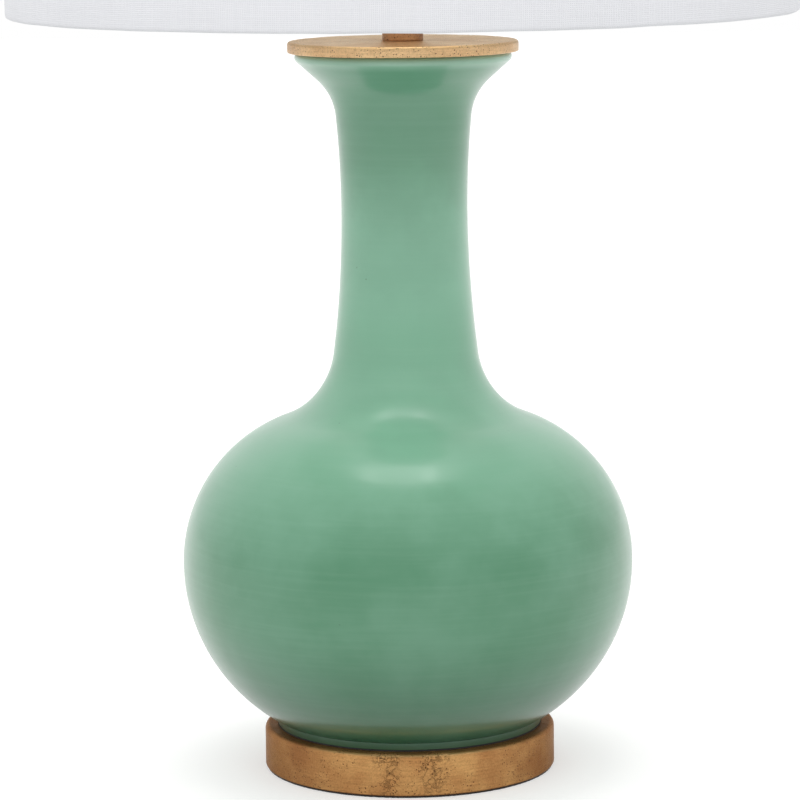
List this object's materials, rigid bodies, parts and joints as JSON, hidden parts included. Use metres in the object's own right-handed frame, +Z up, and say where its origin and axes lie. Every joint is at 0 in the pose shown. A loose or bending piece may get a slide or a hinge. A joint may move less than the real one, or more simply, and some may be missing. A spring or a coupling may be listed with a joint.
{
  "type": "table lamp",
  "caption": "Table lamp: a jade-glazed bottle vase on a gilded plinth, with a gilded cap and neck, turn-knob socket, bulb, harp, linen drum shade and finial.",
  "frame": {"origin": "middle of the felt's underside, on the lamp's axis", "axes": "+Z up the lamp's axis; the harp lies in the XZ plane; the switch knob points to -Y and the cord inlet to +Y"},
  "size_m": [0.4572, 0.4572, 0.7455],
  "materials": {
    "felt": "dense black felt",
    "gilt_wood": "turned wood under worn copper-gold leaf",
    "gilt_metal": "brass under aged copper-gold leaf",
    "glaze": "glossy jade green glaze",
    "rubber": "matte",
    "bushing": "moulded black nylon",
    "steel": "zinc plated",
    "brass": "satin brass",
    "phenolic": "moulded phenolic",
    "paperboard": "pressed insulating board",
    "aluminium": "drawn thin sheet",
    "knob": "glossy black",
    "black_glass": "opaque black glass",
    "bulb_glass": "frosted white glass",
    "clear_glass": "clear glass",
    "filament": "yellow coated lamp filament",
    "white_wire": "white enamelled wire",
    "liner": "white styrene sheet",
    "linen": "fine off-white linen"
  },
  "bodies": {
    "lamp": {"base_felt": "felt", "base_plinth": "gilt_wood", "cord_bushing": "bushing", "lamp_pipe": "steel", "base_washer": "steel", "base_nut": "steel", "vase_gasket": "rubber", "vase_body": "glaze", "vase_cap": "gilt_wood", "neck_collar": "gilt_metal", "harp_saddle": "brass", "socket_cap": "brass", "socket_set_screw": "steel", "socket_interior": "phenolic", "terminal_screws": "brass", "socket_centre_contact": "brass", "socket_screw_shell": "aluminium", "socket_insulator": "paperboard", "socket_shell": "brass"},
    "switch_key": {"switch_shaft": "brass", "switch_knob": "knob"},
    "harp": {"harp_wire": "brass", "harp_stud": "brass"},
    "ferrule_left": {"harp_ferrule_left": "brass"},
    "ferrule_right": {"harp_ferrule_right": "brass"},
    "shade": {"shade_bottom_ring": "white_wire", "shade_spider": "white_wire", "shade_liner": "liner", "shade_linen": "linen"},
    "finial_foot": {"finial_base": "brass"},
    "finial": {"finial_knob": "gilt_metal"},
    "bulb_tip": {"bulb_contact": "steel"},
    "bulb": {"bulb_insulator": "black_glass", "bulb_screw_shell": "aluminium", "bulb_glass": "bulb_glass", "bulb_stem": "clear_glass", "bulb_filament": "filament"}
  },
  "joints": [
    {"name": "switch_turn", "type": "hinge", "parent": "lamp", "child": "switch_key", "pos_m": [0, 0, 0.4829], "axis": [0, -1, 0], "continuous": true},
    {"name": "harp_lift", "type": "slide", "parent": "lamp", "child": "harp", "axis": [0, 0, 1], "range_m": [0, 0.015]},
    {"name": "ferrule_left_lift", "type": "slide", "parent": "harp", "child": "ferrule_left", "axis": [0, 0, 1], "range_m": [0, 0.012]},
    {"name": "ferrule_right_lift", "type": "slide", "parent": "harp", "child": "ferrule_right", "axis": [0, 0, 1], "range_m": [0, 0.012]},
    {"name": "shade_turn", "type": "hinge", "parent": "harp", "child": "shade", "pos_m": [0, 0, 0.7109], "axis": [0, 0, 1], "continuous": true},
    {"name": "finial_rise", "type": "slide", "parent": "harp", "child": "finial_foot", "axis": [0, 0, 1], "range_m": [0, 0.008]},
    {"name": "finial_turn", "type": "hinge", "parent": "finial_foot", "child": "finial", "pos_m": [0, 0, 0.7164], "axis": [0, 0, 1], "range_deg": [0, 3060]},
    {"name": "bulb_rise", "type": "slide", "parent": "lamp", "child": "bulb_tip", "axis": [0, 0, 1], "range_m": [0, 0.0146]},
    {"name": "bulb_turn", "type": "hinge", "parent": "bulb_tip", "child": "bulb", "pos_m": [0, 0, 0.4972], "axis": [0, 0, 1], "range_deg": [0, 1440]}
  ],
  "couplings": [
    {"joint": "finial_rise", "follows": "finial_turn", "m_per_rad": 0.00014972},
    {"joint": "bulb_rise", "follows": "bulb_turn", "m_per_rad": 0.0005775}
  ]
}
